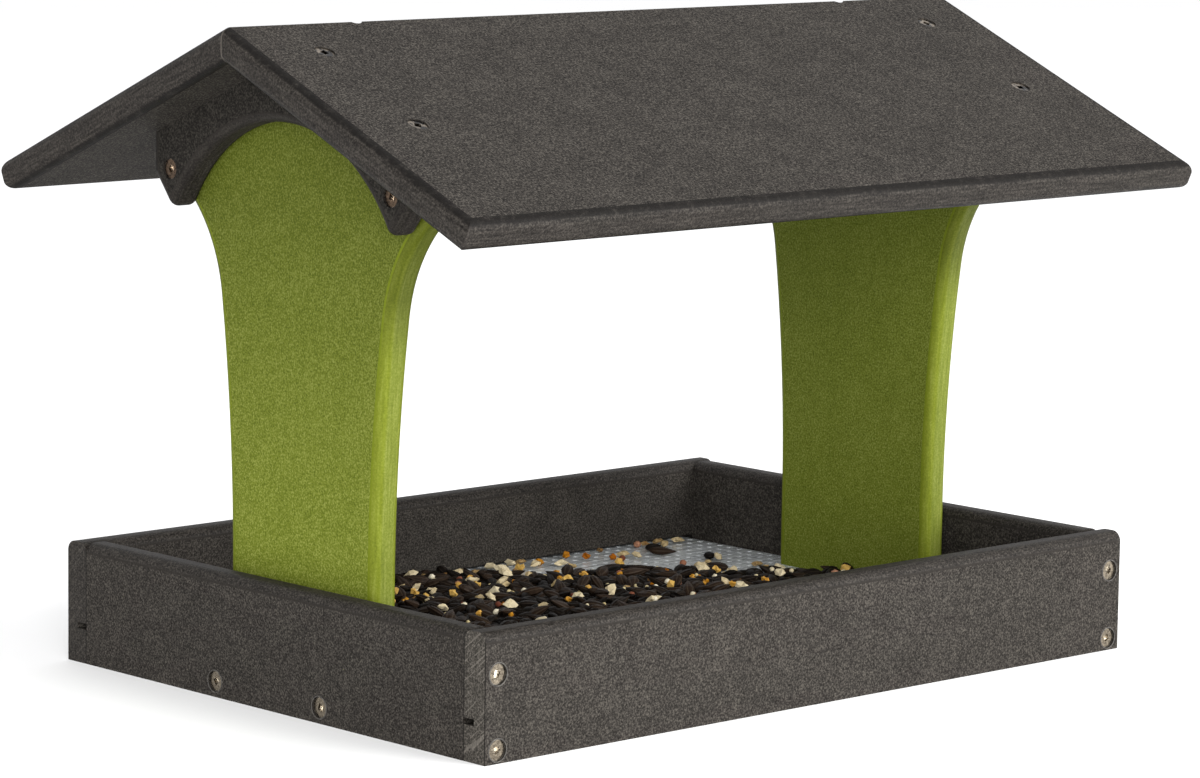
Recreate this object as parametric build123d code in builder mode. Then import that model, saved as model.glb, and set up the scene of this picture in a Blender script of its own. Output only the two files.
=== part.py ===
from build123d import *
import os
from math import acos, asin, cos, degrees, radians, sin, sqrt, tan

# Covered platform bird feeder, sawn from plastic lumber and screwed together, for the top of a post.
# Frame: X runs along the tray, -Y is the front, +Z is up. The origin is at the middle of the tray's
# footprint, on the plane that the tray stands on. All sizes are in millimetres, angles in degrees.

# Tray: two long boards with two end boards between them
tray_length = 362.0
tray_width = 262.0
tray_height = 50.8
tray_stock = 12.7
tray_round = 4.4

# Saw kerf along the inner faces of the long boards, which holds the floor screen
groove_width = 2.6
groove_depth = 6.2

# Base plank under the screen, which carries the uprights and takes the post
plank_width = 92.0
plank_stock = 12.7
plank_lift = 1.6
post_hole_circle = 76.2
post_hole_radius = 1.6
post_hole_count = 4

# Perforated floor screen
screen_thickness = 1.0
screen_side_clearance = 0.4
screen_end_clearance = 2.0

# Uprights, which flare out towards the roof
foot_width = 91.5
upright_top_width = 158.0
upright_stock = 12.7
upright_inset = 4.5
upright_round = 4.4
side_lean = 8.0
flare_radius = 63.0
flare_drop = 97.5
shoulder_round = 6.0

# Roof: two panels that meet in a mitre at the ridge
ridge_height = 271.5
roof_pitch = 23.5
roof_stock = 12.7
roof_round = 4.4
gable_overhang = 23.5
eave_overhang = 15.0

# Arched braces on the outer faces of the uprights
brace_stock = 12.7
brace_overlap = 0.8
brace_side = 15.2
brace_round = 4.0
tip_drop = 15.6
tip_inset = 12.6
tip_round = 3.5
crown_depth = 24.2

# Flat-head square-drive screws
head_radius = 4.1
head_angle = 82.0
shank_radius = 1.9
point_length = 3.0
drive_width = 2.7
drive_depth = 2.2
drive_turn = 37.0
screw_sink = 1.8
tray_screw_sink = 0.9
brace_screw_sink = 0.8
roof_screw_sink = 0.5
screw_clearance = 0.05
head_clearance = 0.1
tip_clearance = 0.5

# How deep each kind of screw bites into the second piece
corner_bite = 20.0
plank_bite = 20.0
foot_bite = 18.0
brace_bite = 7.5
roof_bite = 13.5
ridge_screw_length = 10.4

# Where the screws are
corner_screw_low = 5.2
corner_screw_high = 34.5
plank_screw_height = 6.4
plank_screw_spacing = 65.6
foot_screw_spacing = 50.0
brace_screw_inset = 11.5
brace_screw_rise = 2.2
roof_screw_upper = 23.0
roof_screw_inset = 3.0
ridge_screw_spacing = 273.0
ridge_screw_offset = 3.2

# Seed lying on the screen around the uprights, with a bare patch at the back right corner
seed_depth = 3.2
seed_slope = 40.0
seed_clearance = 0.5
seed_corner = 6.0
bare_length = 161.0
bare_width = 133.0

# Sunflower seed on top of it, on a spiral whose radius grows with the root of the count
grain_length = 10.6
grain_width = 6.0
grain_height = 2.4
grain_slope = 40.0
grain_sink = 0.3
grain_spread = 6.3
grain_turn = 77.7
golden_angle = 137.508

# Heights and faces that the pieces share
plank_top = plank_lift + plank_stock
screen_top = plank_top + screen_thickness
end_inner_x = tray_length / 2 - tray_stock
side_inner_y = tray_width / 2 - tray_stock
upright_outer_x = end_inner_x - upright_inset
upright_inner_x = upright_outer_x - upright_stock
upright_mid_x = upright_outer_x - upright_stock / 2
brace_mid_x = upright_outer_x + brace_stock / 2
brace_outer_x = upright_outer_x + brace_stock
brace_half = upright_top_width / 2 + brace_overlap
roof_length = tray_length + 2 * gable_overhang
roof_run = tray_width / 2 + eave_overhang
slope_length = roof_run / cos(radians(roof_pitch))
roof_rise_stock = roof_stock / cos(radians(roof_pitch))
under_ridge = ridge_height - roof_rise_stock
hole_radius = shank_radius + screw_clearance
pocket_radius = head_radius + head_clearance


def roof_under(y):
    """Height of the roof's underside at a distance y from the ridge plane."""
    return under_ridge - y * tan(radians(roof_pitch))


def facing(origin, normal):
    """Plane on a face with this outward normal, its second axis upwards."""
    return Plane(origin, x_dir=Vector(0, 0, 1).cross(Vector(*normal)), z_dir=normal)


def roof_plane(side):
    """Top face of a roof panel, from the ridge, its second axis down the slope."""
    pitch = radians(roof_pitch)
    return Plane((0, 0, ridge_height), x_dir=(side, 0, 0), z_dir=(0, side * sin(pitch), cos(pitch)))


def sunk(plane, points, sink=screw_sink):
    """Places of sunk screw heads at these points of a face, each turned further than the one before."""
    seat = plane.offset(-sink)
    turns = [(0, 0, drive_turn * (index + 1)) for index in range(len(points))]
    return [seat.location * Location((u, v, 0), turn) for (u, v), turn in zip(points, turns)]


# Screw places, which the screws and every piece that they pass through share
corner_x = tray_length / 2 - tray_stock / 2
corner_points = [(x, z) for x in (-corner_x, corner_x) for z in (corner_screw_low, corner_screw_high)]
corner_places = {
    side: sunk(facing((0, side * tray_width / 2, 0), (0, side, 0)), corner_points, tray_screw_sink)
    for side in (-1, 1)
}

plank_screw_points = [(y, plank_screw_height) for y in (-plank_screw_spacing / 2, plank_screw_spacing / 2)]
plank_places = {
    side: sunk(facing((side * tray_length / 2, 0, 0), (side, 0, 0)), plank_screw_points, tray_screw_sink)
    for side in (-1, 1)
}

plank_underside = Plane((0, 0, plank_lift), x_dir=(1, 0, 0), z_dir=(0, 0, -1))
foot_points = [
    (x, y)
    for x in (-upright_mid_x, upright_mid_x)
    for y in (-foot_screw_spacing / 2, foot_screw_spacing / 2)
]
foot_places = sunk(plank_underside, foot_points)

brace_side_low = roof_under(brace_half) - brace_side
brace_screw_y = brace_half - brace_screw_inset
brace_screw_points = [(y, brace_side_low + brace_screw_rise) for y in (-brace_screw_y, brace_screw_y)]
brace_places = {
    side: sunk(facing((side * brace_outer_x, 0, 0), (side, 0, 0)), brace_screw_points, brace_screw_sink)
    for side in (-1, 1)
}

roof_screw_lower = (brace_half - roof_screw_inset) / cos(radians(roof_pitch))
roof_points = [(x, s) for x in (-brace_mid_x, brace_mid_x) for s in (roof_screw_upper, roof_screw_lower)]
roof_places = {side: sunk(roof_plane(side), roof_points, roof_screw_sink) for side in (-1, 1)}

ridge_points = [(x, ridge_screw_offset) for x in (-ridge_screw_spacing / 2, ridge_screw_spacing / 2)]
ridge_places = sunk(roof_plane(1), ridge_points)

# Screw lengths: what is left of the first piece under the head, then the bite
corner_screw_length = tray_stock - tray_screw_sink + corner_bite
plank_screw_length = tray_stock - tray_screw_sink + plank_bite
foot_screw_length = plank_stock - screw_sink + screen_thickness + foot_bite
brace_screw_length = brace_stock - brace_screw_sink + brace_bite
roof_screw_length = roof_stock - roof_screw_sink + roof_bite


def head_hole(length):
    """Sunk countersunk hole for a screw of this length."""
    CounterSinkHole(hole_radius, pocket_radius, length + tip_clearance, head_angle)


def pilot_hole(length):
    """Plain hole for the shank of a screw of this length, measured from its head."""
    Hole(hole_radius, length + tip_clearance)


def finish(builder, name):
    """Label a finished piece and write it."""
    builder.part.label = name
    export_step(builder.part, f"parts/{name}.step")


def long_board(side):
    """Tray board at the front or the back, with its kerf and rounded top edges."""
    middle = side * (tray_width - tray_stock) / 2
    kerf = side * (side_inner_y + groove_depth / 2)
    with BuildPart() as board:
        with BuildSketch(Plane.YZ):
            with Locations((middle, tray_height / 2)):
                Rectangle(tray_stock, tray_height)
            with Locations((kerf, plank_top + groove_width / 2)):
                Rectangle(groove_depth, groove_width, mode=Mode.SUBTRACT)
        extrude(amount=tray_length / 2, both=True)
        fillet(board.edges().filter_by(Axis.X).group_by(Axis.Z)[-1], tray_round)
        with Locations(*corner_places[side]):
            head_hole(corner_screw_length)
    return board


def end_board(side):
    """Tray board at the left or the right, between the long boards."""
    middle = side * (tray_length - tray_stock) / 2
    with BuildPart() as board:
        with BuildSketch(Plane.XZ):
            with Locations((middle, tray_height / 2)):
                Rectangle(tray_stock, tray_height)
        extrude(amount=side_inner_y, both=True)
        fillet(board.edges().filter_by(Axis.Y).group_by(Axis.Z)[-1], tray_round)
        with Locations(*plank_places[side]):
            head_hole(plank_screw_length)
        with Locations(*corner_places[-1], *corner_places[1]):
            pilot_hole(corner_screw_length)
    return board


def upright(side):
    """Upright that stands on the screen and flares out to the roof."""
    foot_half = foot_width / 2
    top_half = upright_top_width / 2
    flare_start = under_ridge - flare_drop
    lean = radians(side_lean)
    sweep_radius = (flare_start - tray_height) / sin(lean)
    flare_y = foot_half + sweep_radius * (1 - cos(lean))
    flare_end = degrees(acos(cos(lean) - (top_half - flare_y) / flare_radius))
    with BuildPart() as post:
        with BuildSketch(Plane.YZ.offset(side * upright_outer_x)):
            with BuildLine():
                foot = Line((0, screen_top), (foot_half, screen_top))
                edge = Line(foot @ 1, (foot_half, tray_height))
                sweep_arc = JernArc(edge @ 1, edge % 1, sweep_radius, -side_lean)
                flare = JernArc(sweep_arc @ 1, sweep_arc % 1, flare_radius, side_lean - flare_end)
                shoulder = Line(flare @ 1, (top_half, roof_under(top_half)))
                Line(shoulder @ 1, (0, under_ridge))
                mirror(about=Plane.YZ)
            face = make_face()
            fillet(face.vertices().filter_by_position(Axis.Y, (flare @ 1).Y, (flare @ 1).Y), shoulder_round)
        extrude(amount=-side * upright_stock)
        rims = post.faces().filter_by(Axis.X).edges()
        fillet(rims.filter_by(GeomType.CIRCLE) + rims.filter_by(Axis.Z), upright_round)
        with Locations(*foot_places):
            pilot_hole(foot_screw_length)
        with Locations(*brace_places[side]):
            pilot_hole(brace_screw_length)
    return post


def brace(side):
    """Arched brace between an upright's outer face and the roof."""
    tip_y = brace_half - tip_inset
    tip_z = brace_side_low - tip_drop
    crown = under_ridge - crown_depth
    arch_radius = (tip_y**2 + (crown - tip_z) ** 2) / (2 * (crown - tip_z))
    arch_centre = crown - arch_radius
    tip_angle = degrees(asin((tip_z - arch_centre) / arch_radius))
    with BuildPart() as arch:
        with BuildSketch(Plane.YZ.offset(side * upright_outer_x)):
            with BuildLine():
                slope = Line((0, under_ridge), (brace_half, roof_under(brace_half)))
                edge = Line(slope @ 1, (brace_half, brace_side_low))
                Line(edge @ 1, (tip_y, tip_z))
                CenterArc((0, arch_centre), arch_radius, tip_angle, 90 - tip_angle)
                mirror(about=Plane.YZ)
            face = make_face()
            fillet(face.vertices().group_by(Axis.Y)[0], tip_round)
        extrude(amount=side * brace_stock)
        rims = [face.edges().sort_by(Axis.Z)[:-2] for face in arch.faces().filter_by(Axis.X)]
        fillet(rims[0] + rims[1], brace_round)
        with Locations(*brace_places[side]):
            head_hole(brace_screw_length)
        with Locations(*roof_places[-1], *roof_places[1]):
            pilot_hole(roof_screw_length)
    return arch


def roof_panel(side):
    """Roof panel with a mitred ridge edge and rounded gable and eave edges."""
    pitch = radians(roof_pitch)
    with BuildPart() as panel:
        with BuildSketch(Plane.YZ):
            with BuildLine():
                top = Line((0, ridge_height), (side * roof_run, ridge_height - slope_length * sin(pitch)))
                drop = (-side * roof_stock * sin(pitch), -roof_stock * cos(pitch))
                eave = Line(top @ 1, top @ 1 + drop)
                Polyline(eave @ 1, (0, under_ridge), (0, ridge_height))
            make_face()
        extrude(amount=roof_length / 2, both=True)
        gables = panel.faces().filter_by(Axis.X).edges().group_by(SortBy.LENGTH)
        eaves = panel.edges().filter_by(Axis.X).sort_by(Axis.Z)[:2]
        fillet(gables[-1] + gables[-2] + eaves, roof_round)
        with Locations(*roof_places[side]):
            head_hole(roof_screw_length)
        with Locations(*ridge_places):
            head_hole(ridge_screw_length)
    return panel


def screws(places, length):
    """Group of equal screws, each along its place's own axis with its head on top."""
    head_height = (head_radius - shank_radius) / tan(radians(head_angle / 2))
    with BuildPart() as screw:
        with BuildSketch(Plane.XZ):
            with BuildLine():
                Polyline(
                    (0, 0),
                    (head_radius, 0),
                    (shank_radius, -head_height),
                    (shank_radius, point_length - length),
                    (0, -length),
                    close=True,
                )
            make_face()
        revolve(axis=Axis.Z)
        with BuildSketch():
            Rectangle(drive_width, drive_width)
        extrude(amount=-drive_depth, mode=Mode.SUBTRACT)
    with BuildPart() as group:
        with Locations(*places):
            add(screw.part)
    return group


os.makedirs("parts", exist_ok=True)

# Tray
finish(long_board(-1), "tray_front_board")
finish(long_board(1), "tray_back_board")
finish(end_board(-1), "tray_left_end")
finish(end_board(1), "tray_right_end")

# Base plank between the end boards, with the pilot holes for a post flange
with BuildPart() as base_plank:
    with BuildSketch(Plane.XY.offset(plank_lift)):
        Rectangle(2 * end_inner_x, plank_width)
    extrude(amount=plank_stock)
    with Locations(*foot_places):
        head_hole(foot_screw_length)
    with Locations(*plank_places[-1], *plank_places[1]):
        pilot_hole(plank_screw_length)
    with Locations(plank_underside):
        with PolarLocations(post_hole_circle / 2, post_hole_count, start_angle=45):
            Hole(post_hole_radius)
finish(base_plank, "base_plank")

# Floor screen, held in the kerfs and lying on the plank
with BuildPart() as floor_screen:
    with BuildSketch(Plane.XY.offset(plank_top)):
        Rectangle(
            2 * (end_inner_x - screen_end_clearance),
            2 * (side_inner_y + groove_depth - screen_side_clearance),
        )
    extrude(amount=screen_thickness)
    with Locations(*foot_places):
        pilot_hole(foot_screw_length)
finish(floor_screen, "floor_screen")

# Uprights, braces and roof
finish(upright(-1), "left_upright")
finish(upright(1), "right_upright")
finish(brace(-1), "left_brace")
finish(brace(1), "right_brace")
finish(roof_panel(-1), "roof_front_panel")
finish(roof_panel(1), "roof_back_panel")

# Screws, by the joint that they hold
finish(screws(corner_places[-1], corner_screw_length), "front_corner_screws")
finish(screws(corner_places[1], corner_screw_length), "back_corner_screws")
finish(screws(plank_places[-1], plank_screw_length), "left_plank_screws")
finish(screws(plank_places[1], plank_screw_length), "right_plank_screws")
finish(screws(foot_places, foot_screw_length), "upright_foot_screws")
finish(screws(brace_places[-1], brace_screw_length), "left_brace_screws")
finish(screws(brace_places[1], brace_screw_length), "right_brace_screws")
finish(screws(roof_places[-1], roof_screw_length), "roof_front_screws")
finish(screws(roof_places[1], roof_screw_length), "roof_back_screws")
finish(screws(ridge_places, ridge_screw_length), "ridge_screws")

# One sunflower seed, lying flat
with BuildPart() as grain:
    with BuildSketch():
        with BuildLine():
            ThreePointArc((grain_length / 2, 0), (0, grain_width / 2), (-grain_length / 2, 0))
            mirror(about=Plane.XZ)
        make_face()
    extrude(amount=grain_height + grain_sink, taper=grain_slope)

# Seed on the screen: one low heap, with sunflower seed standing out of its top
with BuildPart() as seed_mix:
    seed_x = end_inner_x - screen_end_clearance
    seed_y = side_inner_y - seed_clearance
    notch_length = seed_x - upright_inner_x + seed_clearance
    with BuildSketch(Plane.XY.offset(screen_top)) as heap:
        Rectangle(2 * seed_x, 2 * seed_y)
        with Locations((-seed_x, 0), (seed_x, 0)):
            Rectangle(2 * notch_length, foot_width + 2 * seed_clearance, mode=Mode.SUBTRACT)
        with Locations((seed_x, seed_y)):
            Polygon((0, 0), (-bare_length, 0), (0, -bare_width), align=None, mode=Mode.SUBTRACT)
        fillet(heap.vertices(), seed_corner)
    extrude(amount=seed_depth, taper=seed_slope)
    bed = offset(seed_mix.faces().sort_by(Axis.Z)[-1], -grain_length / 2, mode=Mode.PRIVATE).face()
    spots = []
    for index in range(round((seed_x**2 + seed_y**2) / grain_spread**2)):
        around = radians(golden_angle * index)
        reach = grain_spread * sqrt(index)
        spot = Vector(reach * cos(around), reach * sin(around), screen_top + seed_depth)
        if bed.is_inside(spot):
            spots.append(Location(spot - Vector(0, 0, grain_sink), (0, 0, grain_turn * index)))
    with Locations(*spots):
        add(grain.part)
finish(seed_mix, "seed_mix")
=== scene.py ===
import math

import bmesh
import bpy
from mathutils import Matrix, Vector, noise


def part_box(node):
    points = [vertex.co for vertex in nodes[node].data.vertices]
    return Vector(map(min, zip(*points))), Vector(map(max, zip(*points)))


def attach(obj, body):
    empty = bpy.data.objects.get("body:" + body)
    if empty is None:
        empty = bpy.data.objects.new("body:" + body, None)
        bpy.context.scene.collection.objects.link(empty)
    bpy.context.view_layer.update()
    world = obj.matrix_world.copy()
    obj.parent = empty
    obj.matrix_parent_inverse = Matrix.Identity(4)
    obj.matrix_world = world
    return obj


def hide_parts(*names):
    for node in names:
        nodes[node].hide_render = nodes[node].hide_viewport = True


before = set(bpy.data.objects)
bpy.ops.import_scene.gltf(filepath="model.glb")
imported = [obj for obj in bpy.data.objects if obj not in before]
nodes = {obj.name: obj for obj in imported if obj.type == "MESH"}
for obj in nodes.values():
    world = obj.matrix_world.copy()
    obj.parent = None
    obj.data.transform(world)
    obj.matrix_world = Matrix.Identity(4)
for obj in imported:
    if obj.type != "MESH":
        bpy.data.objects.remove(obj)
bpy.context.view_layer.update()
MM = 0.001

# The feeder's own sizes that the scene follows: the pitch in radians, the rest in millimetres
ROOF_PITCH = math.radians(23.5)
FOOT_WIDTH = 91.5
BOARD_MIDDLE = 124.65
SCREW_SINK = 0.9
SCREW_POCKET = 4.2

# Directions on the feeder
LENGTHWISE = (1, 0, 0)
DEPTHWISE = (0, 1, 0)
UPWARDS = (0, 0, 1)
FRONT_SLOPE = (0, -math.sin(ROOF_PITCH), math.cos(ROOF_PITCH))
BACK_SLOPE = (0, math.sin(ROOF_PITCH), math.cos(ROOF_PITCH))


def linear(code):
    """sRGB hex colour as linear RGBA."""
    parts = [int(code[i : i + 2], 16) / 255 for i in (1, 3, 5)]
    curved = (p / 12.92 if p <= 0.04045 else ((p + 0.055) / 1.055) ** 2.4 for p in parts)
    return (*curved, 1.0)


def feed(tree, node, inputs):
    """Give a node's inputs their values, or other nodes' output sockets."""
    for key, value in inputs.items():
        if isinstance(value, bpy.types.NodeSocket):
            tree.links.new(value, node.inputs[key])
        else:
            node.inputs[key].default_value = value


def add(tree, kind, inputs=None, **settings):
    """One node with its settings and inputs."""
    node = tree.nodes.new(kind)
    for key, value in settings.items():
        setattr(node, key, value)
    feed(tree, node, inputs or {})
    return node


def number(tree, operation, *values):
    """Result of one operation on numbers."""
    return add(tree, "ShaderNodeMath", dict(enumerate(values)), operation=operation).outputs[0]


def dot(tree, first, second):
    """Dot product of two vectors."""
    node = add(tree, "ShaderNodeVectorMath", {0: first, 1: second}, operation="DOT_PRODUCT")
    return node.outputs["Value"]


def scaled(tree, vector, factor):
    """A vector or a colour, times a number."""
    node = add(tree, "ShaderNodeVectorMath", {0: vector, "Scale": factor}, operation="SCALE")
    return node.outputs[0]


def mixed(tree, share, first, second):
    """Number between two numbers."""
    node = add(tree, "ShaderNodeMix", {0: share, 2: first, 3: second}, data_type="FLOAT")
    return node.outputs[0]


def blended(tree, share, first, second):
    """Colour between two colours."""
    node = add(tree, "ShaderNodeMix", {0: share, 6: first, 7: second}, data_type="RGBA")
    return node.outputs[2]


def ranged(tree, value, start, end, low=0.0, high=1.0, kind="LINEAR"):
    """Number that goes from low to high while the value goes from start to end."""
    limits = {"From Min": start, "From Max": end, "To Min": low, "To Max": high}
    node = add(tree, "ShaderNodeMapRange", {"Value": value, **limits}, interpolation_type=kind)
    return node.outputs[0]


def ramp(tree, value, pairs):
    """Colour that a value takes from stops, each a position and a hex colour."""
    node = add(tree, "ShaderNodeValToRGB", {"Fac": value})
    elements = node.color_ramp.elements
    while len(elements) < len(pairs):
        elements.new(1.0)
    for element, (position, code) in zip(elements, pairs):
        element.position = position
        element.color = linear(code)
    return node.outputs["Color"]


def speckled(tree, place, size, detail=2.0, roughness=0.5):
    """Noise whose features are about this many millimetres large."""
    look = {"Scale": 1.0 / (size * MM), "Detail": detail, "Roughness": roughness}
    return add(tree, "ShaderNodeTexNoise", {"Vector": place, **look}).outputs["Fac"]


# How much slower the noise of streaks changes along them than across, and how rough it is
STREAK_DRAW = 0.06
STREAK_ROUGHNESS = 0.55


def streaks(tree, place, direction, size):
    """Noise drawn out into long lines, this many millimetres apart along one direction."""
    along = scaled(tree, place, STREAK_DRAW)
    across = scaled(tree, direction, dot(tree, place, direction))
    stretched = add(tree, "ShaderNodeVectorMath", {0: along, 1: across}, operation="ADD")
    return speckled(tree, stretched.outputs[0], size, roughness=STREAK_ROUGHNESS)


# Depth of fine relief, in millimetres
RELIEF_DEPTH = 0.3


def bumped(tree, height, strength):
    """Normal of a finely uneven surface."""
    relief = {"Height": height, "Strength": strength, "Distance": RELIEF_DEPTH * MM}
    return add(tree, "ShaderNodeBump", relief).outputs[0]


def places(tree):
    """Where on its object a material is, and which way that faces."""
    return add(tree, "ShaderNodeTexCoord").outputs


def new_material(name):
    """Empty material with its shader."""
    material = bpy.data.materials.new(name)
    material.use_nodes = True
    tree = material.node_tree
    tree.nodes.clear()
    shader = add(tree, "ShaderNodeBsdfPrincipled")
    add(tree, "ShaderNodeOutputMaterial", {"Surface": shader.outputs[0]})
    return material, tree, shader


# Plastic lumber: high-density polyethylene, extruded as sheet with a fine stippled skin, then sawn
# and routed. The skin is matt and speckled at under a millimetre over faint mottling; rounded edges
# are smoother and darker and show the cutter's lines parallel to the face, with a fine line where
# the cutter left the face; sawn edges are grainy again.
CHARCOAL_SKIN = ((0.36, "#0f0d0b"), (0.50, "#2b2825"), (0.64, "#4f4b45"))
CHARCOAL_EVEN = ((0.36, "#151310"), (0.50, "#2c2926"), (0.64, "#4b4741"))
# Darker copy of the skin for the braces: painted shade under the roof
CHARCOAL_PAINTED_SHADE = ((0.36, "#100e0c"), (0.50, "#211f1c"), (0.64, "#393631"))
CHARCOAL_CUT = ((0.34, "#0e0c0a"), (0.50, "#201d1a"), (0.66, "#33302b"))
CHARCOAL_WORN = ((0.36, "#110f0d"), (0.50, "#272421"), (0.64, "#423e39"))
CHARCOAL_END = ((0.34, "#1c1916"), (0.50, "#37342f"), (0.66, "#5a554f"))
CHARCOAL_SAWN = ((0.34, "#110f0d"), (0.50, "#282522"), (0.66, "#423e39"))
CHARCOAL_BRINK = "#0e0c0a"
CHARCOAL_FAINT = "#262320"
CHARCOAL_SCORED = "#7d776f"
CHARCOAL_MITRE_HIGHLIGHT = "#55504a"
LIME_SKIN = ((0.36, "#434d10"), (0.50, "#58611c"), (0.64, "#737a39"))
LIME_CUT = ((0.34, "#535c12"), (0.50, "#636c1b"), (0.66, "#727a2e"))
LIME_SAWN = ((0.34, "#535c1d"), (0.50, "#636c26"), (0.66, "#757b3b"))
LIME_BRINK = "#5f6a14"

# Its textures: the size in millimetres of speckle, mottling, clouds, cutter lines and saw lines,
# with the detail and roughness of the speckle, how far clouds show in the mottling and both of them
# in the speckle
SPECKLE = (0.8, 3.0, 0.65)
MOTTLE = 4.0
CLOUD = 18.0
CUTTER_LINES = 1.0
SAW_LINES = 1.1
CLOUD_SHARE = 0.45
BROAD_SHARE = 0.16

# Cosines of the angle to the face between which the skin begins, rounded edges give way to sawn
# ones and the line at the brink stops, and the share of its turn at which that line is full
SKIN_EDGE = (0.975, 0.996)
ROUND_EDGE = (0.1, 0.45)
BRINK_STOP = (0.9982, 0.9997)
BRINK_FULL = 0.8

# Between which values of their noise a saw line appears, and of the mottling wear does, with how
# much of the line at the brink is left there
SAW_LIMITS = (0.57, 0.61)
WEAR_LIMITS = (0.3, 0.5, 0.5, 0.9)

# Roughness of edges and of skin, and how strong the relief is
EDGE_ROUGHNESS = 0.55
SKIN_ROUGHNESS = 0.74
LUMBER_RELIEF = 0.6

# Places in metres: the dark line along the faces of a board end, counted from the board's middle,
# and the painted highlight along the line of the mitre, both with how far they show, and the heights
# between which the uprights' skin goes from painted paler to painted darker, and their edges darken
# as the painted shadow of the eaves
CRACK = (5.5 * MM, 5.9 * MM, 0.0, 0.85)
MITRE_HIGHLIGHT = (0.2 * MM, 0.45 * MM, 0.8, 0.0)
PAINTED_GRADIENT_HEIGHTS = (60 * MM, 200 * MM)
EAVE_SHADOW_HEIGHTS = (142 * MM, 168 * MM)


def lengthwise(tree, normal):
    """How far a surface faces along the feeder's length."""
    return number(tree, "ABSOLUTE", dot(tree, normal, LENGTHWISE))


def board_end(tree, here, face, cut, colours, sweep, scoring):
    """Colour of a sawn board end: fine arcs that the saw left, and a dark line along each face."""
    scored = ranged(tree, streaks(tree, here, sweep, SAW_LINES), *SAW_LIMITS, high=scoring)
    marked = blended(tree, scored, ramp(tree, cut, colours), linear(CHARCOAL_SCORED))
    depth = number(tree, "ABSOLUTE", dot(tree, here, face))
    off_middle = number(tree, "ABSOLUTE", number(tree, "SUBTRACT", depth, BOARD_MIDDLE * MM))
    return blended(tree, ranged(tree, off_middle, *CRACK), marked, linear(CHARCOAL_BRINK))


def plastic_lumber(
    name,
    face,
    skin,
    routed,
    sawn,
    brink,
    cutter=0.45,
    brink_turn=15.0,
    ends=None,
    mitre=None,
    painted_paler_below=0.0,
    painted_eave_shadow=0.0,
):
    """Lumber whose skin faces along `face`.

    skin, routed and sawn are ramp stops, and brink is one colour. cutter is how far the cutter's
    lines show, and brink_turn how many degrees the line at the brink reaches round the edge. ends
    holds the colours of sawn board ends, the way that the saw went and how far its lines show.
    mitre is the colour of the painted highlight along the joint on the gable ends. The last two
    arguments are painted light: how far the skin is painted paler downwards and darker upwards, and
    how much darker the edges are painted towards the top, as the painted shadow of the eaves.
    """
    material, tree, shader = new_material(name)
    place = places(tree)
    here, normal = place["Object"], place["Normal"]
    height = dot(tree, here, UPWARDS)
    flat = number(tree, "ABSOLUTE", dot(tree, normal, face))
    is_skin = ranged(tree, flat, *SKIN_EDGE, kind="SMOOTHSTEP")
    is_round = ranged(tree, flat, *ROUND_EDGE, kind="SMOOTHSTEP")
    speckle = speckled(tree, here, *SPECKLE)
    mottle = speckled(tree, here, MOTTLE)
    broad = mixed(tree, CLOUD_SHARE, mottle, speckled(tree, here, CLOUD))
    skin_colour = ramp(tree, mixed(tree, BROAD_SHARE, speckle, broad), skin)
    if painted_paler_below:
        # Painted light: the skin paler towards the bottom and darker towards the top
        painted_gradient = ranged(tree, height, *PAINTED_GRADIENT_HEIGHTS, 1 + painted_paler_below, 1 - painted_paler_below)
        skin_colour = scaled(tree, skin_colour, painted_gradient)
    # The cutter's lines keep their depth below the face
    cut = mixed(tree, cutter, speckle, streaks(tree, here, face, CUTTER_LINES))
    sawn_colour = ramp(tree, cut, sawn)
    if ends:
        end_colour = board_end(tree, here, face, cut, *ends)
        sawn_colour = blended(tree, lengthwise(tree, normal), sawn_colour, end_colour)
    edge_colour = blended(tree, is_round, sawn_colour, ramp(tree, cut, routed))
    if painted_eave_shadow:
        # Painted shadow of the eaves: the edges darker towards the top
        shade = ranged(tree, height, *EAVE_SHADOW_HEIGHTS, 1.0, 1 - painted_eave_shadow)
        edge_colour = scaled(tree, edge_colour, shade)
    colour = blended(tree, is_skin, edge_colour, skin_colour)
    # The fine broken line along the brink of each rounded edge
    line_from = math.cos(math.radians(brink_turn))
    line_full = math.cos(math.radians(BRINK_FULL * brink_turn))
    begun = ranged(tree, flat, line_from, line_full)
    line = number(tree, "MULTIPLY", begun, ranged(tree, flat, *BRINK_STOP, 1.0, 0.0))
    broken = number(tree, "MULTIPLY", line, ranged(tree, mottle, *WEAR_LIMITS))
    colour = blended(tree, broken, colour, linear(brink))
    if mitre:
        # The joint shows on the gable ends as a fine pale line of painted highlight
        apart = number(tree, "ABSOLUTE", dot(tree, here, DEPTHWISE))
        joint = ranged(tree, apart, *MITRE_HIGHLIGHT)
        shown = number(tree, "MULTIPLY", joint, lengthwise(tree, normal))
        colour = blended(tree, shown, colour, linear(mitre))
    look = {
        "Base Color": colour,
        "Roughness": mixed(tree, is_skin, EDGE_ROUGHNESS, SKIN_ROUGHNESS),
        "Normal": bumped(tree, mixed(tree, is_skin, cut, speckle), LUMBER_RELIEF),
        "IOR": 1.51,
        "Specular IOR Level": 0.08,
    }
    feed(tree, shader, look)
    return material


def charcoal(
    name, face, routed=CHARCOAL_CUT, cutter=0.3, skin=CHARCOAL_SKIN, brink=CHARCOAL_BRINK, **marks
):
    """Brown-charcoal lumber for the boards that face one way."""
    name = "charcoal_polyethylene_" + name
    return plastic_lumber(name, face, skin, routed, CHARCOAL_SAWN, brink, cutter, **marks)


def tray_lumber(name, face, ends=None):
    """Charcoal lumber of the tray's boards, more even and with a faint brink."""
    even = {"skin": CHARCOAL_EVEN, "brink": CHARCOAL_FAINT}
    return charcoal(name, face, CHARCOAL_WORN, cutter=0.12, ends=ends, **even)


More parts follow.
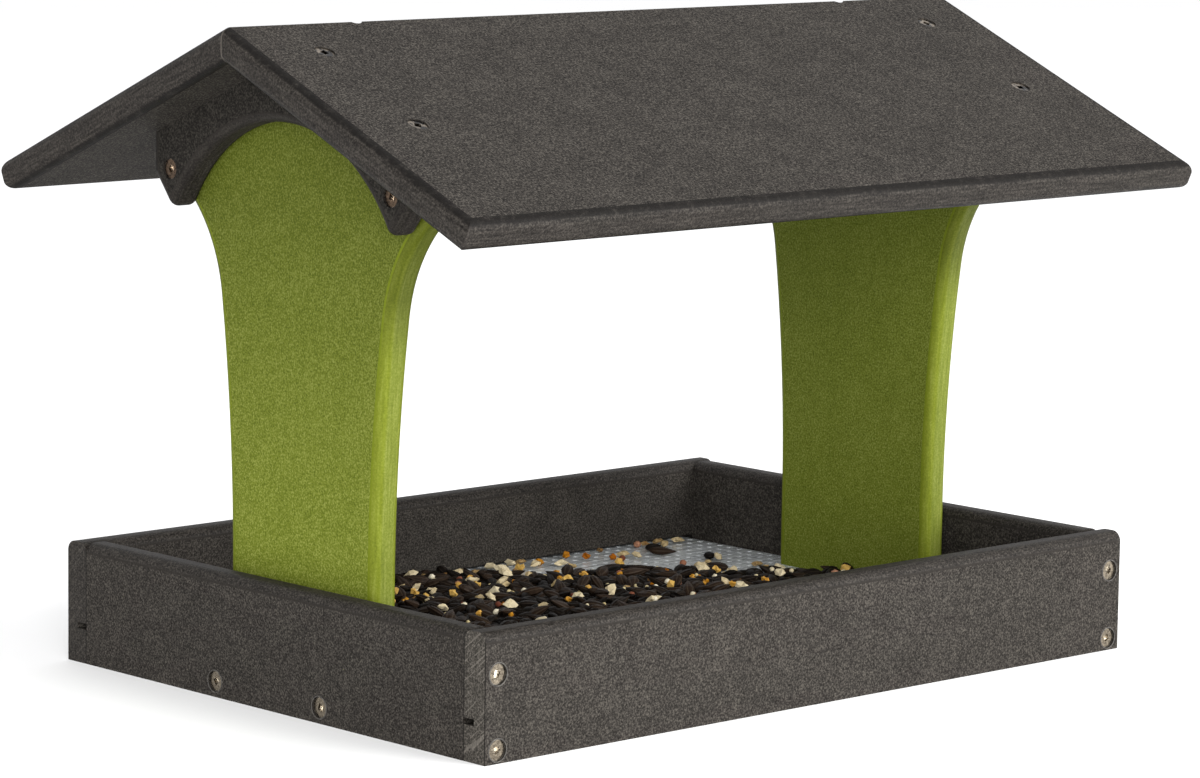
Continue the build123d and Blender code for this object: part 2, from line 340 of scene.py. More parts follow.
def roof_lumber(name, face):
    """Charcoal lumber of a roof panel, whose brink is wide and dark."""
    return charcoal(name, face, CHARCOAL_WORN, brink_turn=58.0, mitre=CHARCOAL_MITRE_HIGHLIGHT)


def lime(name, painted_paler_below):
    """Lime lumber of an upright."""
    colours = (LIME_SKIN, LIME_CUT, LIME_SAWN, LIME_BRINK)
    # Painted light: skin paler below and darker above, and painted eave shadow on the top edges
    light = {"painted_paler_below": painted_paler_below, "painted_eave_shadow": 0.4}
    return plastic_lumber("lime_polyethylene_" + name, LENGTHWISE, *colours, **light)


# The way across the saw's lines on the ends of the long boards
SAW_SWEEP = (0, 0.64, 0.77)
front_board = tray_lumber("front_board", DEPTHWISE, (CHARCOAL_END, SAW_SWEEP, 0.32))
back_board = tray_lumber("back_board", DEPTHWISE, (CHARCOAL_SAWN, SAW_SWEEP, 0.08))
end_boards = tray_lumber("end_boards", LENGTHWISE)
# The braces' darker skin is painted shade under the roof
braces = charcoal("braces", LENGTHWISE, skin=CHARCOAL_PAINTED_SHADE, brink=CHARCOAL_FAINT)
plank = charcoal("plank", UPWARDS)
front_roof = roof_lumber("front_roof", FRONT_SLOPE)
back_roof = roof_lumber("back_roof", BACK_SLOPE)
# The left upright gets a stronger painted paler-below gradient than the right
right_lime = lime("right_upright", 0.08)
left_lime = lime("left_upright", 0.24)

# Raised rim that the countersink pushed up around each screw: the same plastic, polished paler
RIM_COLOURS = ((0.35, "#201d1a"), (0.65, "#4c4842"))
RIM_FLECK = 1.2
pocket_rim, tree, shader = new_material("charcoal_polyethylene_pocket_rims")
fleck = speckled(tree, places(tree)["Object"], RIM_FLECK)
feed(tree, shader, {"Base Color": ramp(tree, fleck, RIM_COLOURS), "Roughness": 0.5})

# How far the nooks of a screw head reach, in millimetres, how open a place is there, and the detail
# and roughness of the steel
NOOK_REACH = 2.5
NOOK_LIMITS = (0.2, 0.6)
STEEL_DETAIL = 3.0
STEEL_ROUGHNESS = (0.18, 0.42)


def screw_steel(name, spot, colours, socket):
    """Stamped steel, mottled in spots of this size in millimetres; socket paints light into the
    nooks.
    """
    finish, tree, shader = new_material(name)
    grain = speckled(tree, places(tree)["Object"], spot, STEEL_DETAIL)
    # Nooks, found by occlusion, take the socket colour: a pale one paints a glint, a dark one shade
    nook = add(tree, "ShaderNodeAmbientOcclusion", {"Distance": NOOK_REACH * MM}, samples=8)
    is_open = ranged(tree, nook.outputs["AO"], *NOOK_LIMITS)
    look = {
        "Base Color": blended(tree, is_open, linear(socket), ramp(tree, grain, colours)),
        "Roughness": mixed(tree, grain, *STEEL_ROUGHNESS),
        "Metallic": 1.0,
    }
    feed(tree, shader, look)
    return finish


# Stainless steel screws with a dull warm lustre and a painted glint in the drive sockets; darker
# and browner on the braces as painted shade, with the same painted glint; and on the roof in large
# dark and light patches of painted reflection, with painted shade in the sockets
DULL_STEEL = ((0.3, "#554d43"), (0.7, "#8f8575"))
SHADED_STEEL = ((0.3, "#2b231c"), (0.7, "#6a5848"))
PATCHY_STEEL = ((0.46, "#1a1613"), (0.56, "#94897a"))
tray_steel = screw_steel("stainless_steel_screws", 0.8, DULL_STEEL, "#f8f3e9")
brace_steel = screw_steel("shaded_brown_steel_screws", 0.8, SHADED_STEEL, "#f6ecdf")
# Roof screws: patches of painted reflection, with painted shade in the sockets
roof_steel = screw_steel("patchy_steel_screws", 3.6, PATCHY_STEEL, "#0d0a08")

# Perforated aluminium sheet, mill finish: pale blue-grey and dull, with rolling streaks along it
SHEET_COLOURS = ((0.3, "#b2b6b8"), (0.7, "#dcdfdf"))
SHEET_ROUGHNESS = (0.2, 0.36)
ROLLING = 1.5
sheet_metal, tree, shader = new_material("mill_finish_aluminium_screen")
rolled = streaks(tree, places(tree)["Object"], DEPTHWISE, ROLLING)
look = {
    "Base Color": ramp(tree, rolled, SHEET_COLOURS),
    "Roughness": mixed(tree, rolled, *SHEET_ROUGHNESS),
    "Metallic": 0.3,
}
feed(tree, shader, look)

# Dry seed: each grain has its own tone, kept in the attribute "tone", and flecks of this size in
# millimetres. Sunflower hulls also have fine pale lines from tip to tip, which follow the
# attribute "around".
FLECK = 1.6
FLECK_SHARE = 0.35
HULL_RIPPLE = 44.0
HULL_LINE = "#7a6d5c"
LINE_LIMITS = (0.7, 1.0)
SEED_RELIEF = 0.4


def seed_material(name, colours, roughness, lined=0.0):
    """Finish of one kind of grain, from its darkest to its palest grains."""
    material, tree, shader = new_material(name)
    tone = add(tree, "ShaderNodeAttribute", attribute_name="tone").outputs["Fac"]
    fleck = speckled(tree, places(tree)["Object"], FLECK)
    colour = ramp(tree, mixed(tree, FLECK_SHARE, tone, fleck), colours)
    if lined:
        around = add(tree, "ShaderNodeAttribute", attribute_name="around").outputs["Fac"]
        ripple = number(tree, "SINE", number(tree, "MULTIPLY", around, HULL_RIPPLE))
        streak = ranged(tree, ripple, *LINE_LIMITS, high=lined)
        colour = blended(tree, number(tree, "MULTIPLY", streak, tone), colour, linear(HULL_LINE))
    look = {
        "Base Color": colour,
        "Normal": bumped(tree, fleck, SEED_RELIEF),
        "Roughness": roughness,
        "IOR": 1.48,
        "Specular IOR Level": 0.06,
    }
    feed(tree, shader, look)
    return material


HULL_COLOURS = ((0.2, "#0b0806"), (0.55, "#130e0b"), (0.85, "#281d15"))
KERNEL_COLOURS = ((0.2, "#755632"), (0.45, "#a08a60"), (0.8, "#c9bc9c"))
CORN_COLOURS = ((0.2, "#8c4f0c"), (0.5, "#a97520"), (0.8, "#bf9c54"))
MILO_COLOURS = ((0.2, "#5a2f22"), (0.5, "#7a4c38"), (0.8, "#9a7058"))
MILLET_COLOURS = ((0.2, "#a89668"), (0.5, "#b9ab84"), (0.8, "#d4cbb4"))
black_hull = seed_material("black_sunflower_hull", HULL_COLOURS, 0.5, 0.15)
pale_kernel = seed_material("hulled_kernel_chips", KERNEL_COLOURS, 0.5)
yellow_corn = seed_material("cracked_yellow_corn", CORN_COLOURS, 0.4)
red_milo = seed_material("red_milo", MILO_COLOURS, 0.5)
white_millet = seed_material("white_millet", MILLET_COLOURS, 0.4)

finishes = {
    "tray_front_board": front_board,
    "tray_back_board": back_board,
    "tray_left_end": end_boards,
    "tray_right_end": end_boards,
    "left_brace": braces,
    "right_brace": braces,
    "base_plank": plank,
    "left_upright": left_lime,
    "right_upright": right_lime,
    "roof_front_panel": front_roof,
    "roof_back_panel": back_roof,
    "front_corner_screws": tray_steel,
    "back_corner_screws": tray_steel,
    "left_plank_screws": tray_steel,
    "right_plank_screws": tray_steel,
    "upright_foot_screws": tray_steel,
    "left_brace_screws": brace_steel,
    "right_brace_screws": brace_steel,
    "roof_front_screws": roof_steel,
    "roof_back_screws": roof_steel,
    "ridge_screws": roof_steel,
}
for name, finish in finishes.items():
    nodes[name].data.materials.clear()
    nodes[name].data.materials.append(finish)


def object_from(name, builder):
    """Linked object from a finished bmesh."""
    mesh = bpy.data.meshes.new(name)
    builder.to_mesh(mesh)
    builder.free()
    made = bpy.data.objects.new(name, mesh)
    bpy.context.scene.collection.objects.link(made)
    return made


def node_tree(name, inputs):
    """Geometry tree with a geometry input, these named inputs and a geometry output."""
    tree = bpy.data.node_groups.new(name, "GeometryNodeTree")
    tree.interface.new_socket("Geometry", in_out="INPUT", socket_type="NodeSocketGeometry")
    for label, kind in inputs.items():
        tree.interface.new_socket(label, in_out="INPUT", socket_type="NodeSocket" + kind)
    tree.interface.new_socket("Geometry", in_out="OUTPUT", socket_type="NodeSocketGeometry")
    return tree, tree.nodes.new("NodeGroupInput").outputs


def end_tree(tree, geometry, finish):
    """End of a geometry tree: plain geometry with its finish."""
    real = add(tree, "GeometryNodeRealizeInstances", {"Geometry": geometry}).outputs[0]
    done = add(tree, "GeometryNodeSetMaterial", {"Geometry": real, "Material": finish})
    add(tree, "NodeGroupOutput", {0: done.outputs[0]})


def attribute(tree, name, kind):
    """Named attribute of the geometry in a tree."""
    return add(tree, "GeometryNodeInputNamedAttribute", {"Name": name}, data_type=kind).outputs[0]


def lifted(tree, height):
    """Vector that points up by a height."""
    return add(tree, "ShaderNodeCombineXYZ", {"Z": height}).outputs[0]


def grow(base, tree, values):
    """Run a geometry tree on an object with these values and leave the result as its plain mesh."""
    modifier = base.modifiers.new(tree.name, "NODES")
    modifier.node_group = tree
    for item in tree.interface.items_tree:
        if item.in_out == "INPUT" and item.name in values:
            modifier[item.identifier] = values[item.name]
    seen = bpy.context.evaluated_depsgraph_get()
    result = bpy.data.meshes.new_from_object(base.evaluated_get(seen), depsgraph=seen)
    base.modifiers.remove(modifier)
    base.data = result


def settle(piece, slot, smooth, *replaced):
    """Give a finished piece to the part."""
    for polygon in piece.data.polygons:
        polygon.use_smooth = smooth
    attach(piece, "root")
    if replaced:
        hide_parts(*replaced)


# Rims around the sunk screws of the tray
def screw_heads(group):
    """Middle of the head and outward axis of each screw in a group."""
    shape = bmesh.new()
    shape.from_mesh(group.data)
    bmesh.ops.remove_doubles(shape, verts=shape.verts, dist=0.001 * MM)
    left = dict.fromkeys(shape.verts)
    heads = []
    while left:
        island = [left.popitem()[0]]
        for vertex in island:
            for edge in vertex.link_edges:
                other = edge.other_vert(vertex)
                if other in left:
                    del left[other]
                    island.append(other)
        middle = sum((vertex.co for vertex in island), Vector()) / len(island)
        tip = max((vertex.co for vertex in island), key=lambda point: (point - middle).length)
        axis = (middle - tip).normalized()
        top = max((vertex.co - tip).dot(axis) for vertex in island)
        heads.append((tip + axis * top, axis))
    shape.free()
    return heads


def ring(name, outline, sides):
    """Closed ring around Z from the points of its section: radius and height in millimetres."""
    shape = bmesh.new()
    loops = [
        [
            shape.verts.new((r * MM * math.cos(turn), r * MM * math.sin(turn), z * MM))
            for turn in (2 * math.pi * s / sides for s in range(sides))
        ]
        for r, z in outline
    ]
    for low, high in zip(loops, loops[1:] + loops[:1]):
        for s in range(sides):
            n = (s + 1) % sides
            shape.faces.new((low[s], low[n], high[n], high[s]))
    bmesh.ops.recalc_face_normals(shape, faces=shape.faces)
    return object_from(name, shape)


# Section of a rim: how far outside the pocket and how high, in millimetres
RIM_SECTION = ((0.0, -0.2), (0.2, 0.16), (0.45, 0.12), (0.8, -0.2))
RIM_SIDES = 20
tree, given = node_tree("screw_pocket_rims", {"Rim": "Object", "Finish": "Material"})
outward = {"Vector": attribute(tree, "outward", "FLOAT_VECTOR")}
facing = add(tree, "FunctionNodeAlignRotationToVector", outward, axis="Z").outputs[0]
rim = add(tree, "GeometryNodeObjectInfo", {"Object": given["Rim"]}).outputs["Geometry"]
placing = {"Points": given["Geometry"], "Instance": rim, "Rotation": facing}
rims = add(tree, "GeometryNodeInstanceOnPoints", placing).outputs[0]
end_tree(tree, rims, given["Finish"])

heads = []
for name in sorted(nodes):
    if name.endswith(("corner_screws", "plank_screws")):
        heads += screw_heads(nodes[name])
spots = bmesh.new()
for middle, axis in heads:
    spots.verts.new(middle + axis * SCREW_SINK * MM)
rims = object_from("screw_pocket_rims", spots)
outward = rims.data.attributes.new("outward", "FLOAT_VECTOR", "POINT")
for value, (middle, axis) in zip(outward.data, heads):
    value.vector = axis
rim = ring("pocket_rim", [(SCREW_POCKET + r, z) for r, z in RIM_SECTION], RIM_SIDES)
grow(rims, tree, {"Rim": rim, "Finish": pocket_rim})
bpy.data.objects.remove(rim)
settle(rims, "dark_lumber", True)

# Floor screen: one square cell with a round hole, repeated over the sheet and given its thickness
SCREEN_PITCH = 6.5
HOLE_RADIUS = 1.45
HOLE_SIDES = 12
SAME_PLACE = 1e-7
WELD = 0.02
screen_low, screen_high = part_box("floor_screen")
columns = round((screen_high.x - screen_low.x) / (SCREEN_PITCH * MM))
rows = round((screen_high.y - screen_low.y) / (SCREEN_PITCH * MM))
cell_x = (screen_high.x - screen_low.x) / columns
cell_y = (screen_high.y - screen_low.y) / rows
cell = bmesh.new()
hole = []
rim = []
for i in range(HOLE_SIDES):
    turn = 2 * math.pi * (i + 0.5) / HOLE_SIDES
    x, y = math.cos(turn), math.sin(turn)
    reach = 0.5 / max(abs(x), abs(y))
    hole.append(cell.verts.new((HOLE_RADIUS * MM * x, HOLE_RADIUS * MM * y, 0)))
    rim.append(cell.verts.new((cell_x * reach * x, cell_y * reach * y, 0)))
on_side = [abs(abs(vertex.co.x) - cell_x / 2) < SAME_PLACE for vertex in rim]
for i in range(HOLE_SIDES):
    j = (i + 1) % HOLE_SIDES
    a, b = rim[i].co, rim[j].co
    corner = []
    if on_side[i] != on_side[j]:
        corner = [cell.verts.new((b.x, a.y, 0) if on_side[j] else (a.x, b.y, 0))]
    cell.faces.new([hole[i], rim[i]] + corner + [rim[j], hole[j]])
floor_screen = object_from("perforated_floor_screen", cell)

screen_inputs = {
    "Columns": "Int",
    "Rows": "Int",
    "Length": "Float",
    "Width": "Float",
    "Height": "Float",
    "Thickness": "Float",
    "Finish": "Material",
}
tree, given = node_tree("screen_perforations", screen_inputs)
counts = {"Vertices X": given["Columns"], "Vertices Y": given["Rows"]}
extent = {"Size X": given["Length"], "Size Y": given["Width"]}
grid = add(tree, "GeometryNodeMeshGrid", {**counts, **extent}).outputs[0]
placing = {"Points": grid, "Instance": given["Geometry"]}
cells = add(tree, "GeometryNodeInstanceOnPoints", placing).outputs[0]
whole = add(tree, "GeometryNodeRealizeInstances", {"Geometry": cells}).outputs[0]
weld = {"Geometry": whole, "Distance": WELD * MM}
joined = add(tree, "GeometryNodeMergeByDistance", weld).outputs[0]
raising = {"Mesh": joined, "Offset": lifted(tree, 1.0), "Offset Scale": given["Thickness"]}
thick = add(tree, "GeometryNodeExtrudeMesh", {**raising, "Individual": False})
under = add(tree, "GeometryNodeFlipFaces", {"Mesh": joined})
both = add(tree, "GeometryNodeJoinGeometry")
tree.links.new(thick.outputs["Mesh"], both.inputs[0])
tree.links.new(under.outputs[0], both.inputs[0])
weld = {"Geometry": both.outputs[0], "Distance": WELD * MM}
closed = add(tree, "GeometryNodeMergeByDistance", weld).outputs[0]
lift = {"Geometry": closed, "Translation": lifted(tree, given["Height"])}
end_tree(tree, add(tree, "GeometryNodeTransform", lift).outputs[0], given["Finish"])
screen_values = {
    "Columns": columns,
    "Rows": rows,
    "Length": cell_x * (columns - 1),
    "Width": cell_y * (rows - 1),
    "Height": screen_low.z,
    "Thickness": screen_high.z - screen_low.z,
    "Finish": sheet_metal,
}
grow(floor_screen, tree, screen_values)
settle(floor_screen, "screen_metal", False, "floor_screen")

# Seed, in millimetres: the part of the screen that it can cover, around the uprights' feet
BED_X = 166.0
BED_Y = 116.0
BED_STEP = 4.0
FOOT_X = 150.0
FOOT_MARGIN = 1.0
seed_floor = screen_high.z / MM

# Edge of the bare corner at the back right: three lines, each with its depth at the tray's middle
# and how far it comes forward per millimetre to the right. The edge wanders and thins out.
BARE_LINES = ((118.0, 1.3), (88.0, 0.3), (147.5, 1.0))
WANDER = 7.0
WANDER_SCALE = 0.05
WANDER_LAYER = 3.7
EDGE_SLOPE = 0.8
EDGE_WIDTH = 10.0


def seed_cover(x, y):
    """How thickly seed lies at a place, from 0 to 1; the back right corner is bare."""
    left, front, right = (depth - slope * x for depth, slope in BARE_LINES)
    brink = max(left, min(front, right))
    spot = Vector((x * WANDER_SCALE, y * WANDER_SCALE, WANDER_LAYER))
    edge = EDGE_SLOPE * (y - brink) + WANDER * noise.noise(spot)
    return min(1.0, max(0.0, 0.5 - edge / EDGE_WIDTH))


def by_foot(x, y):
    """Whether a place is taken by an upright's foot."""
    return abs(x) > FOOT_X and abs(y) < FOOT_WIDTH / 2 + FOOT_MARGIN


bed = bmesh.new()
across_count = round(2 * BED_X / BED_STEP)
along_count = round(2 * BED_Y / BED_STEP)
bed_grid = []
for i in range(across_count + 1):
    x = BED_X * (2 * i / across_count - 1)
    column = []
    for j in range(along_count + 1):
        y = BED_Y * (2 * j / along_count - 1)
        column.append(bed.verts.new((x * MM, y * MM, screen_high.z)))
    bed_grid.append(column)
for column, beside in zip(bed_grid, bed_grid[1:]):
    for j in range(along_count):
        middle = (column[j].co + beside[j + 1].co) / (2 * MM)
        if not by_foot(middle.x, middle.y):
            bed.faces.new((column[j], beside[j], beside[j + 1], column[j + 1]))
seed_bed = object_from("seed_bed", bed)
cover = seed_bed.data.attributes.new("cover", "FLOAT", "POINT")
for vertex, value in zip(seed_bed.data.vertices, cover.data):
    value.value = seed_cover(vertex.co.x / MM, vertex.co.y / MM)

# Form of a grain: how blunt its ends are, where along it the taper starts, and how knobs repeat
BLUNTNESS = 0.75
TAPER_FROM = 0.35
KNOBS_ALONG = 3.1
KNOBS_AROUND = 1.7


def grain_shape(name, length, width, thickness, point, sides, rings, knobbly=0.0):
    """One grain, lying along X, in millimetres: an egg with a pointed end, or a knobbly chip.

    point is how far it tapers, and knobbly how uneven it is.
    """
    shape = bmesh.new()
    around = shape.verts.layers.float.new("around")
    loops = []
    for r in range(1, rings + 1):
        t = r / (rings + 1)
        reach = math.sin(math.pi * t) ** BLUNTNESS * (1 - point * (t - TAPER_FROM))
        loop = []
        for s in range(sides):
            turn = 2 * math.pi * s / sides
            y, z = math.cos(turn), math.sin(turn)
            spot = Vector((KNOBS_ALONG * t, KNOBS_AROUND * y, KNOBS_AROUND * z + length))
            swell = reach * (1 + knobbly * noise.noise(spot))
            x = (t - 0.5) * length * MM
            side = (0.5 * width * MM * swell * y, 0.5 * thickness * MM * swell * z)
            loop.append(shape.verts.new((x, *side)))
            loop[-1][around] = turn / (2 * math.pi)
        loops.append(loop)
    blunt = shape.verts.new((-0.5 * length * MM, 0, 0))
    tip = shape.verts.new((0.5 * length * MM, 0, 0))
    for s in range(sides):
        n = (s + 1) % sides
        shape.faces.new((blunt, loops[0][n], loops[0][s]))
        shape.faces.new((tip, loops[-1][s], loops[-1][n]))
        for low, high in zip(loops, loops[1:]):
            shape.faces.new((low[s], low[n], high[n], high[s]))
    bmesh.ops.recalc_face_normals(shape, faces=shape.faces)
    return object_from(name, shape)


sunflower = grain_shape("sunflower_grain", 11.4, 5.6, 3.6, 0.8, 8, 5)
sunflower_low = grain_shape("sunflower_grain_under", 11.4, 5.8, 3.6, 0.8, 6, 4)
kernel = grain_shape("kernel_grain", 7.0, 5.0, 3.0, 0.5, 6, 3, 1.1)
corn = grain_shape("corn_grain", 5.0, 4.2, 3.4, 0.3, 5, 3, 1.3)
milo = grain_shape("milo_grain", 3.8, 3.6, 3.2, 0.1, 7, 3)
millet = grain_shape("millet_grain", 2.7, 2.3, 2.1, 0.15, 6, 3)

# Inputs that every tree that lays grains has
GRAIN_INPUTS = {
    "Grain": "Object",
    "Tilt": "Float",
    "Smallest": "Float",
    "Largest": "Float",
    "Seed": "Int",
    "Finish": "Material",
}


def drawn(tree, given, low, high):
    """Random number for each point, between two numbers."""
    limits = {2: low, 3: high, "Seed": given["Seed"]}
    return add(tree, "FunctionNodeRandomValue", limits, data_type="FLOAT").outputs[1]


def lay_grains(tree, given, points, turn_low, turn_high):
    """End of a grain tree: grains on points, each with its own turn, size and tone."""
    lean, back = given["Tilt"], number(tree, "MULTIPLY", given["Tilt"], -1.0)
    lowest = add(tree, "ShaderNodeCombineXYZ", {"X": back, "Y": back, "Z": turn_low}).outputs[0]
    highest = add(tree, "ShaderNodeCombineXYZ", {"X": lean, "Y": lean, "Z": turn_high}).outputs[0]
    limits = {0: lowest, 1: highest, "Seed": given["Seed"]}
    turn = add(tree, "FunctionNodeRandomValue", limits, data_type="FLOAT_VECTOR").outputs[0]
    size = drawn(tree, given, given["Smallest"], given["Largest"])
    grain = add(tree, "GeometryNodeObjectInfo", {"Object": given["Grain"]}).outputs["Geometry"]
    placing = {"Points": points, "Instance": grain, "Rotation": turn, "Scale": size}
    grains = add(tree, "GeometryNodeInstanceOnPoints", placing).outputs[0]
    tone = {"Geometry": grains, "Name": "tone", "Value": drawn(tree, given, 0.0, 1.0)}
    kept = {"data_type": "FLOAT", "domain": "INSTANCE"}
    toned = add(tree, "GeometryNodeStoreNamedAttribute", tone, **kept).outputs[0]
    end_tree(tree, toned, given["Finish"])


# Strewn grains: scattered over the bed, fewer where it is bare, and higher where it is full
COVER_LIMITS = (0.05, 0.85)
STREWN_INPUTS = ("Spacing", "Density", "Rest", "Lowest", "Highest")
strewn, given = node_tree("scatter_grain", GRAIN_INPUTS | dict.fromkeys(STREWN_INPUTS, "Float"))
covered = attribute(strewn, "cover", "FLOAT")
scatter = {
    "Mesh": given["Geometry"],
    "Distance Min": given["Spacing"],
    "Density Max": given["Density"],
    "Density Factor": ranged(strewn, covered, *COVER_LIMITS),
    "Seed": given["Seed"],
}
spread = add(strewn, "GeometryNodeDistributePointsOnFaces", scatter, distribute_method="POISSON")
rise = number(strewn, "MULTIPLY", drawn(strewn, given, given["Lowest"], given["Highest"]), covered)
above = lifted(strewn, number(strewn, "ADD", rise, given["Rest"]))
raising = {"Geometry": spread.outputs["Points"], "Offset": above}
raised = add(strewn, "GeometryNodeSetPosition", raising).outputs[0]
lay_grains(strewn, given, raised, 0.0, 2 * math.pi)


def grain_values(grain, finish, tilt, sizes, seed):
    """Values of the inputs that every grain tree has."""
    smallest, largest = sizes
    return {
        "Grain": grain,
        "Tilt": tilt,
        "Smallest": smallest,
        "Largest": largest,
        "Seed": seed,
        "Finish": finish,
    }


def strew(name, smooth, spacing, density, rest, heights, values):
    """Strew one kind of grain over the bed.

    spacing, rest and heights are in millimetres: rest is half the grain's thickness, and heights
    the range above that where the bed is full. density is the most grains on a square metre.
    """
    piece = bpy.data.objects.new(name, seed_bed.data.copy())
    bpy.context.scene.collection.objects.link(piece)
    lowest, highest = heights
    values |= {
        "Spacing": spacing * MM,
        "Density": density,
        "Rest": rest * MM,
        "Lowest": lowest * MM,
        "Highest": highest * MM,
    }
    grow(piece, strewn, values)
    settle(piece, "seed", smooth, "seed_mix")


under_hulls = grain_values(sunflower_low, black_hull, 0.18, (0.85, 1.1), 3)
bottom_hulls = grain_values(sunflower_low, black_hull, 0.1, (0.85, 1.1), 5)
loose_hulls = grain_values(sunflower, black_hull, 0.55, (0.8, 1.2), 7)
kernel_bits = grain_values(kernel, pale_kernel, 0.6, (0.4, 1.3), 11)
corn_bits = grain_values(corn, yellow_corn, 0.9, (0.35, 1.1), 19)
red_grains = grain_values(milo, red_milo, 0.8, (0.8, 1.15), 23)
white_grains = grain_values(millet, white_millet, 0.8, (0.8, 1.25), 29)
strew("sunflower_seed_under", True, 4.5, 45000.0, 1.9, (0.0, 0.9), under_hulls)
strew("sunflower_seed_bottom", True, 4.5, 45000.0, 1.8, (0.0, 0.3), bottom_hulls)
strew("sunflower_seed_loose", False, 6.2, 17000.0, 1.9, (1.0, 3.4), loose_hulls)
strew("kernel_chips", False, 5.0, 2700.0, 1.2, (2.4, 4.4), kernel_bits)
strew("cracked_corn", False, 4.0, 3200.0, 1.3, (2.4, 4.4), corn_bits)
strew("milo_grains", True, 10.0, 500.0, 1.6, (2.4, 3.8), red_grains)
strew("millet_grains", True, 4.0, 3600.0, 1.0, (2.4, 4.6), white_grains)

# Placed grains: the sunflower seed of the heap's top, on the spiral that its solid has, and the
# few grains that lie by themselves in the bare corner
placed, given = node_tree("placed_grain", GRAIN_INPUTS)
turned = attribute(placed, "turn", "FLOAT")
lay_grains(placed, given, given["Geometry"], turned, turned)


def lay(name, smooth, spots, height, values):
    """Lay one kind of grain at spots of x, y and turn, this many millimetres above the screen."""
    points = bmesh.new()
    for x, y, turn in spots:
        points.verts.new((x * MM, y * MM, (seed_floor + height) * MM))
    piece = object_from(name, points)
    turns = piece.data.attributes.new("turn", "FLOAT", "POINT")
    for value, (x, y, turn) in zip(turns.data, spots):
        value.value = turn
    grow(piece, placed, values)
    settle(piece, "seed", smooth, "seed_mix")


SPIRAL_SPREAD = 6.3
SPIRAL_TURN = math.radians(77.7)
GOLDEN_ANGLE = math.radians(137.508)
SPIRAL_HEIGHT = 3.7
SPIRAL_MARGIN = 5.0
SPIRAL_COVER = 0.6
# The spiral keeps a little further from the feet than strewn grains do
FOOT_STRETCH_X = 1.03
FOOT_STRETCH_Y = 0.9
spiral = []
for index in range(round((BED_X**2 + BED_Y**2) / SPIRAL_SPREAD**2)):
    reach = SPIRAL_SPREAD * math.sqrt(index)
    x, y = reach * math.cos(GOLDEN_ANGLE * index), reach * math.sin(GOLDEN_ANGLE * index)
    on_bed = abs(x) < BED_X - SPIRAL_MARGIN and abs(y) < BED_Y - SPIRAL_MARGIN
    is_clear = on_bed and not by_foot(FOOT_STRETCH_X * x, FOOT_STRETCH_Y * y)
    if is_clear and seed_cover(x, y) > SPIRAL_COVER:
        spiral.append((x, y, SPIRAL_TURN * index))
stray_sunflower = (
    *((125, 93, -0.75), (129, 103, 0.2), (134, 72, 0.9)),
    *((118, 50, 1.6), (78, 76, 2.4)),
)
stray_kernels = (
    *((20, 111, 0.4), (24, 107, 2.0), (39, 114, 1.2), (39, 97, 0.2), (40, 108, 2.6)),
    *((51, 114, 1.0), (57, 114, 2.2), (58, 105, 0.1), (67, 91, 1.5), (69, 100, 2.9)),
    *((105, 113, 0.7), (107, 100, 2.4), (110, 94, 0.9), (115, 58, 1.8), (122, 60, 0.3)),
    *((133, 113, 2.7), (134, 35, 1.1), (136, 68, 0.6), (137, 44, 2.1), (138, 31, 1.4)),
    *((140, 107, 0.5), (142, 114, 1.9), (152, 111, 2.5)),
)
stray_corn = (
    *((84, 113, 0.5), (89, 105, 1.9), (90, 84, 0.9)),
    *((63, 108, 2.7), (97, 96, 0.2), (47, 103, 1.3)),
)
stray_milo = ((129, 114, 0.0), (99, 92, 0.0), (112, 66, 0.0))
top_hulls = grain_values(sunflower, black_hull, 0.42, (0.85, 1.15), 37)
stray_hulls = grain_values(sunflower, black_hull, 0.06, (1.0, 1.2), 39)
stray_chips = grain_values(kernel, pale_kernel, 0.3, (0.75, 1.15), 41)
stray_yellow = grain_values(corn, yellow_corn, 0.4, (0.9, 1.25), 43)
stray_red = grain_values(milo, red_milo, 0.4, (0.9, 1.1), 47)
lay("sunflower_seed", True, spiral, SPIRAL_HEIGHT, top_hulls)
lay("stray_sunflower_seed", True, stray_sunflower, 2.0, stray_hulls)
lay("stray_kernels", False, stray_kernels, 1.7, stray_chips)
lay("stray_corn", False, stray_corn, 1.9, stray_yellow)
lay("stray_milo", True, stray_milo, 1.7, stray_red)
for spare in (seed_bed, sunflower, sunflower_low, kernel, corn, milo, millet):
    bpy.data.objects.remove(spare)

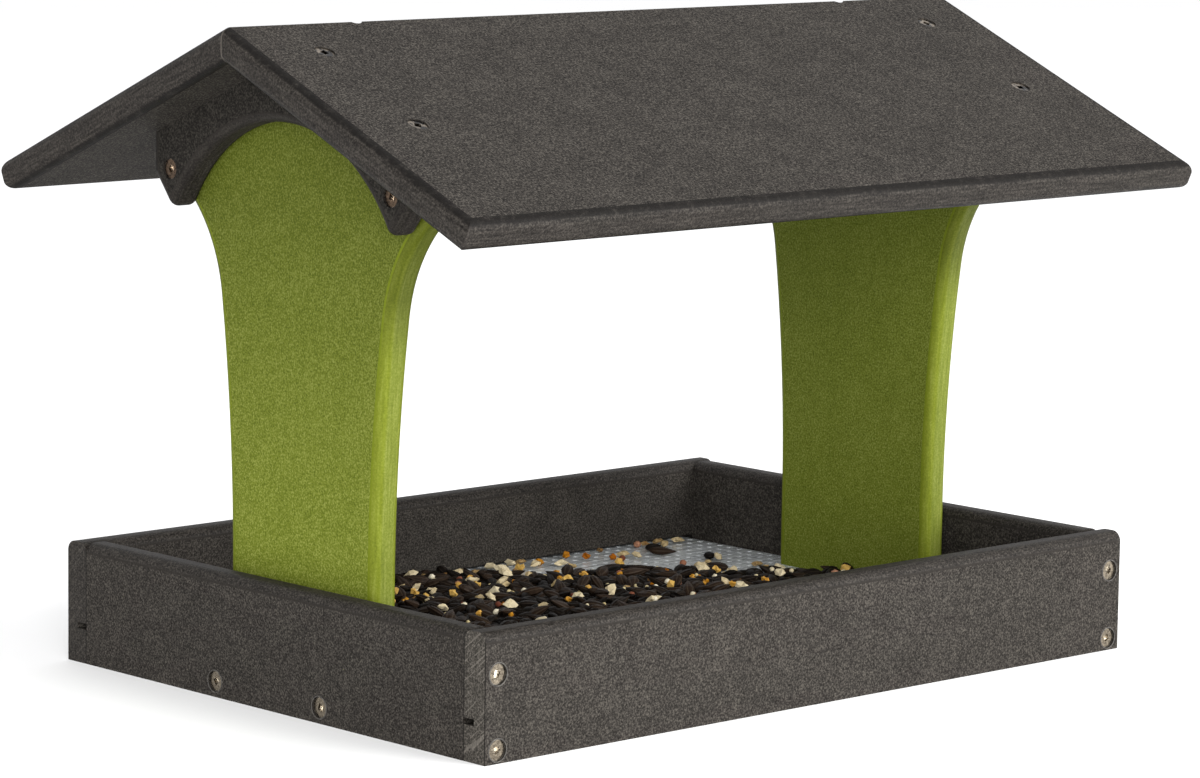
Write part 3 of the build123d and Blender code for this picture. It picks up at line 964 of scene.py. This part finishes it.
# Floor, light and camera, in metres
FLOOR_HALF = 40.0
FEEDER_MIDDLE = Vector((0, 0, 0.13))
stage_mesh = bmesh.new()
bmesh.ops.create_grid(stage_mesh, x_segments=1, y_segments=1, size=FLOOR_HALF)
floor = object_from("floor", stage_mesh)
pale, tree, shader = new_material("pale_studio_floor")
feed(tree, shader, {"Base Color": linear("#fafaf9"), "Roughness": 0.8})
floor.data.materials.append(pale)

scene = bpy.context.scene
scene.view_settings.view_transform = "Standard"
world = bpy.data.worlds.new("studio")
scene.world = world
world.use_nodes = True
tree = world.node_tree
feed(tree, tree.nodes["Background"], {"Color": linear("#fdfdff"), "Strength": 1.0})


def soft_light(name, where, size, watts):
    """Square soft box that faces the middle of the feeder."""
    lamp = bpy.data.lights.new(name, "AREA")
    lamp.size = size
    lamp.energy = watts
    box = bpy.data.objects.new(name, lamp)
    box.location = where
    box.rotation_euler = (FEEDER_MIDDLE - Vector(where)).to_track_quat("-Z", "Y").to_euler()
    scene.collection.objects.link(box)


soft_light("key", (1.3, -2.7, 1.15), 2.2, 136.0)
soft_light("camera_side_fill", (-2.1, -2.2, 0.7), 1.4, 74.0)
soft_light("left_top", (-1.3, -0.6, 2.9), 1.4, 14.0)

# The camera: where it stands, how it is turned, and its focal length for each unit of picture width
CAMERA_PLACE = (-1.3303, -1.4228, 0.3899)
CAMERA_SENSOR = 36.0
FOCAL_SHARE = 4688.9 / 1200
yaw, pitch, roll = math.radians(43.03), math.radians(8.09), math.radians(0.80)
level_x, level_y = math.sin(yaw) * math.cos(pitch), math.cos(yaw) * math.cos(pitch)
forward = Vector((level_x, level_y, -math.sin(pitch)))
level = Vector((math.cos(yaw), -math.sin(yaw), 0))
upward = level.cross(forward)
right = level * math.cos(roll) + upward * math.sin(roll)
upward = upward * math.cos(roll) - level * math.sin(roll)
camera = bpy.data.objects.new("camera", bpy.data.cameras.new("camera"))
camera.data.sensor_width = CAMERA_SENSOR
camera.data.lens = FOCAL_SHARE * CAMERA_SENSOR
camera.data.clip_end = 200.0
turned = Matrix((right, upward, -forward)).transposed().to_4x4()
camera.matrix_world = Matrix.Translation(CAMERA_PLACE) @ turned
scene.collection.objects.link(camera)
scene.camera = camera
